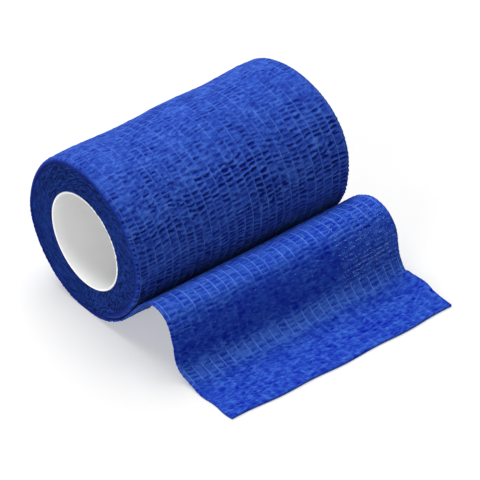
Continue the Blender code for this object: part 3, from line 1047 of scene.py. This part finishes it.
@dataclass(frozen=True)
class ElasticThreads:
    """The elastic threads along the cloth, sunk in it or lying on it from place to place."""

    crepe: Crepe
    finish: ThreadFinish
    radius: float = 0.07 * MM
    sides: int = 4
    roll_rows: int = 330
    loose_rows: int = 220

    def tubes(self, name: str, paths: list[Array], material: Material) -> Object:
        """Makes one mesh of closed tubes along paths.

        Args:
            name: The piece's name.
            paths: One array of points for each thread.
            material: The threads' finish.

        Returns:
            The piece.
        """
        points, faces, first = [], [], 0
        turn = np.linspace(0.0, 2 * np.pi, self.sides, endpoint=False)
        for path in paths:
            forward = unit(np.gradient(path, axis=0))
            across = [1.0, 0.0, 0.0] if abs(forward[0, 0]) < 0.9 else [0.0, 1.0, 0.0]
            up = unit(np.cross(across, forward))
            side = np.cross(forward, up)
            ring = path[:, None, :] + self.radius * (
                np.cos(turn)[None, :, None] * side[:, None, :] + np.sin(turn)[None, :, None] * up[:, None, :])
            points.append(ring.reshape(-1, 3))
            faces.append(grid_quads(len(path), self.sides, first=first, wrap_columns=True))
            last = first + (len(path) - 1) * self.sides
            faces.append([list(range(first, first + self.sides)), list(range(last + self.sides - 1, last - 1, -1))])
            first += len(path) * self.sides
        return make_piece(name, np.concatenate(points), faces, None, material)

    def on_roll(self, wound: WoundCloth) -> Object:
        """Lays the threads round the roll's outermost turn.

        Args:
            wound: The wound cloth that carries them.

        Returns:
            The piece.
        """
        angle = np.linspace(wound.form.ledge_angle + 3.0, wound.form.end_angle, self.roll_rows)
        threads = self.crepe.thread_places()
        place = threads + wound.form.length / 2
        base = wound.form.turn_radius(angle)[:, None] + wound.form.swell(place)[None, :]
        run = np.radians(angle - wound.form.end_angle)[:, None] * np.mean(base)
        wide = threads[None, :]
        depth = wound.depth(angle[:, None], run, wide)
        shown = noise(Layer.THREAD, run, np.arange(len(threads))[None, :] * 7.3, (3.5 * MM, 1.0))
        lift = 0.62 * depth - 0.15 * MM + 0.16 * MM * ease(shown, 0.40, 0.80)
        y, z = wound.form.on_turn(angle[:, None], base + lift)
        x = wide + wound.form.edge_shift(angle, place) + 0 * y
        laid = np.stack([x, y, np.maximum(z, self.radius)], axis=-1)
        return self.tubes("roll_threads", [laid[:, k] for k in range(len(threads))], self.finish.build())

    def on_loose_end(self, loose: LooseEnd) -> Object:
        """Lays the threads along the loose end.

        Args:
            loose: The loose end that carries them.

        Returns:
            The piece.
        """
        along = np.linspace(0.0, 1.0, self.loose_rows)
        threads = self.crepe.thread_places()
        across = threads / loose.form.length + 0.5
        middle = loose.surface(along, across)
        normal = loose.upward(along, across)
        s = along[:, None]
        own = noise(Layer.THREAD, s * 14, np.arange(len(threads))[None, :] * 3.7)
        shown = (CREST.share(s) + TOE.share(s)) * (0.74 + 0.4 * own)
        lift = loose.cloth_thickness / 2 - 0.36 * MM + 0.48 * MM * np.clip(shown, 0.0, 1.0)
        laid = middle + normal * lift[..., None]
        laid[..., 2] = np.maximum(laid[..., 2], 0.15 * MM)
        return self.tubes("loose_threads", [laid[:, k] for k in range(len(threads))], self.finish.build())


@dataclass(frozen=True)
class LintPatch:
    """A part of the loose end on which fibres with a painted glint lie: shares of its length and width, and how many.
    """

    s_low: float
    s_high: float
    w_low: float
    w_high: float
    count: int


@dataclass(frozen=True)
class LintFibres:
    """Short fibres that lie on the loose end, most of them on its far slope; their pale colour is a painted glint
    where they catch the light.
    """

    patches: tuple[LintPatch, ...] = (
        LintPatch(0.42, 0.70, 0.74, 0.99, 420),
        LintPatch(0.61, 0.65, 0.80, 0.97, 130),
        LintPatch(0.34, 0.99, 0.01, 0.99, 90),
    )
    radius: float = 0.05 * MM
    steps: int = 3

    def build(self, threads: ElasticThreads, loose: LooseEnd, material: Material) -> Object:
        """Scatters the fibres.

        Args:
            threads: Makes the tubes.
            loose: The loose end that carries the fibres.
            material: The fibres' finish.

        Returns:
            The piece.
        """
        along, across = np.linspace(0.0, 1.0, 401), np.linspace(0.0, 1.0, 201)
        middle, normal = loose.surface(along, across), loose.upward(along, across)
        paths = []
        for number, patch in enumerate(self.patches):
            picks = np.arange(patch.count)
            s, w, turn, size = (scatter(Layer.FIBRE, picks, picks * 0 + 10 * number + k) for k in range(4))
            s = patch.s_low + (patch.s_high - patch.s_low) * s
            row = threads.crepe.pucker_pitch / loose.flat_length()
            s = row * (np.round(s / row) + 0.28 * (size - 0.5))
            w = patch.w_low + (patch.w_high - patch.w_low) * w
            for start_s, start_w, angle, length in zip(s, w, 1.2 * (turn - 0.5), (0.16 + 0.34 * size) * MM):
                row, column = int(start_s * 400), int(start_w * 200)
                start, up = middle[row, column], normal[row, column]
                side = unit(np.cross(up, middle[min(row + 1, 400), column] - middle[row - 1, column]))
                ahead = np.cross(side, up)
                way = math.cos(angle) * side + math.sin(angle) * ahead
                reach = np.linspace(0.0, length, self.steps)[:, None]
                bow = 0.12 * MM * np.sin(np.pi * reach / length)
                paths.append(start + reach * way + (loose.cloth_thickness / 2 + 0.06 * MM + bow) * up)
        fine = ElasticThreads(threads.crepe, threads.finish, radius=self.radius, sides=3)
        return fine.tubes("lint_fibres", paths, material)


@dataclass(frozen=True)
class Studio:
    """Plain pale floor, soft light and the camera at the photograph's viewing angle."""

    frame_pixels: float = 480.0
    focal_pixels: float = 3490.35
    azimuth: float = -39.171
    elevation: float = 38.486
    tilt: float = -0.17
    place: Triple = (-0.47580, -0.60586, 0.61794)
    sensor: float = 36.0
    floor_size: float = 8.0
    floor_tone: float = 0.32
    floor_glow: float = 0.48
    world_light: float = 0.45
    gamma: float = 0.8

    def add_camera(self) -> None:
        """Adds the camera and makes it the scene's."""
        data = bpy.data.cameras.new("camera")
        data.sensor_width = self.sensor
        data.lens = self.sensor * self.focal_pixels / self.frame_pixels
        data.clip_start = 0.01
        camera = bpy.data.objects.new("camera", data)
        a, e, r = (math.radians(value) for value in (self.azimuth, self.elevation, self.tilt))
        back = Vector((math.sin(a) * math.cos(e), -math.cos(a) * math.cos(e), math.sin(e)))
        level = Vector((math.cos(a), math.sin(a), 0.0))
        up = back.cross(level)
        right = level * math.cos(r) + up * math.sin(r)
        up = back.cross(right)
        camera.matrix_world = Matrix.Translation(self.place) @ Matrix((right, up, back)).transposed().to_4x4()
        bpy.context.scene.collection.objects.link(camera)
        bpy.context.scene.camera = camera

    def add_floor(self) -> None:
        """Adds the floor."""
        half = self.floor_size / 2
        corners = np.array([(-half, -half, 0), (half, -half, 0), (half, half, 0), (-half, half, 0)], float)
        made = bpy.data.materials.new("floor_white")
        made.use_nodes = True
        shader = made.node_tree.nodes["Principled BSDF"]
        shader.inputs["Base Color"].default_value = (self.floor_tone, self.floor_tone, self.floor_tone, 1.0)
        shader.inputs["Emission Color"].default_value = (1.0, 1.0, 1.0, 1.0)
        shader.inputs["Emission Strength"].default_value = self.floor_glow
        shader.inputs["Roughness"].default_value = 0.9
        shader.inputs["Specular IOR Level"].default_value = 0.1
        floor = make_piece("floor", corners, [[[0, 1, 2, 3]]], None, made)

    def add_light(self, name: str, direction: Triple, distance: float, size: float,
                  power: float) -> None:
        """Adds one soft light that looks at the roll.

        Args:
            name: The light's name.
            direction: From the roll to the light.
            distance: Distance from the roll.
            size: Side of its square.
            power: Power in watts.
        """
        data = bpy.data.lights.new(name, "AREA")
        data.shape = "SQUARE"
        data.size = size
        data.energy = power
        light = bpy.data.objects.new(name, data)
        back = Vector(direction).normalized()
        light.matrix_world = Matrix.Translation(back * distance) @ back.to_track_quat("Z", "Y").to_matrix().to_4x4()
        bpy.context.scene.collection.objects.link(light)

    def build(self) -> None:
        """Sets up the world, the floor, the lights and the camera."""
        world = bpy.data.worlds.new("studio")
        world.use_nodes = True
        background = world.node_tree.nodes["Background"]
        background.inputs["Color"].default_value = (1.0, 1.0, 1.0, 1.0)
        background.inputs["Strength"].default_value = self.world_light
        bpy.context.scene.world = world
        bpy.context.scene.view_settings.view_transform = "Standard"
        bpy.context.scene.view_settings.gamma = self.gamma
        self.add_floor()
        self.add_light("top_softbox", (0.10, 0.40, 1.0), 1.2, 0.9, 21.0)
        self.add_light("left_fill", (-1.0, -0.45, 0.45), 1.4, 0.6, 8.0)
        self.add_camera()


def report(piece: Object) -> Object:
    """Logs a piece's name and size, and lets it ride on the part.

    Args:
        piece: The piece.

    Returns:
        The same piece.
    """
    triangles = sum(len(face.vertices) - 2 for face in piece.data.polygons)
    LOG.info("%s: %d triangles", piece.name, triangles)
    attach(piece, "root")
    return piece


def main() -> None:
    """Builds the roll's pieces in order and the studio around them."""
    logging.basicConfig(level=logging.INFO, format="%(message)s")
    core_low, core_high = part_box("core_tube")
    axis_height = (core_low.z + core_high.z) / 2
    form = WoundForm(length=core_high.x - core_low.x + 0.6 * MM, axis_height=axis_height)
    crepe = Crepe()
    core_radius = (core_high.z - core_low.z) / 2

    # Each cloth finish runs from a painted fold shade colour through its body colour to a painted ridge light colour.
    wound_finish = ClothFinish("wound_crepe", (0.001, 0.009, 0.16), (0.025, 0.072, 0.345), (0.067, 0.152, 0.45))
    # The turn edges' finish is a darker copy of the cloth: painted shade where the edge-on fibres shadow each other.
    edge_finish = ClothFinish("turn_edge_crepe", (0.002, 0.009, 0.08), (0.012, 0.040, 0.21), (0.026, 0.076, 0.32),
                              roughness=0.95, sheen=0.04, fibre_gain=2.2)
    loose_finish = ClothFinish("loose_crepe", (0.000, 0.013, 0.29), (0.020, 0.071, 0.37), (0.060, 0.148, 0.47),
                               patch_gain=0.22)

    core = CoreSleeve(core_radius, 0.65 * MM, core_high.x - core_low.x, axis_height)
    sleeve = report(core.build())
    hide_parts("core_tube")

    wound = WoundCloth(form, crepe, wound_finish, edge_finish, core_radius)
    skin = report(wound.build_skin())
    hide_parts("wound_roll")
    for face in Face:
        report(wound.build_turn_edges(face))

    loose = LooseEnd(form, crepe, loose_finish)
    cloth = report(loose.build_cloth())
    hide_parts("loose_end")
    elastic = ElasticThreads(crepe, ThreadFinish())
    roll_elastic = ElasticThreads(crepe, ThreadFinish("roll_thread", (0.060, 0.16, 0.54), (0.11, 0.24, 0.68)),
                                  radius=0.06 * MM)
    report(roll_elastic.on_roll(wound))
    threads = report(elastic.on_loose_end(loose))
    # Real loose fibres; their pale colour is a painted glint, lighter than the cloth where they catch the light.
    glinting_lint_finish = ThreadFinish("lint", (0.22, 0.38, 0.80), (0.50, 0.64, 0.95), 0.6)
    lint = report(LintFibres().build(elastic, loose, glinting_lint_finish.build()))
    loose.flat_length()

    Studio().build()


if __name__ == "__main__":
    main()
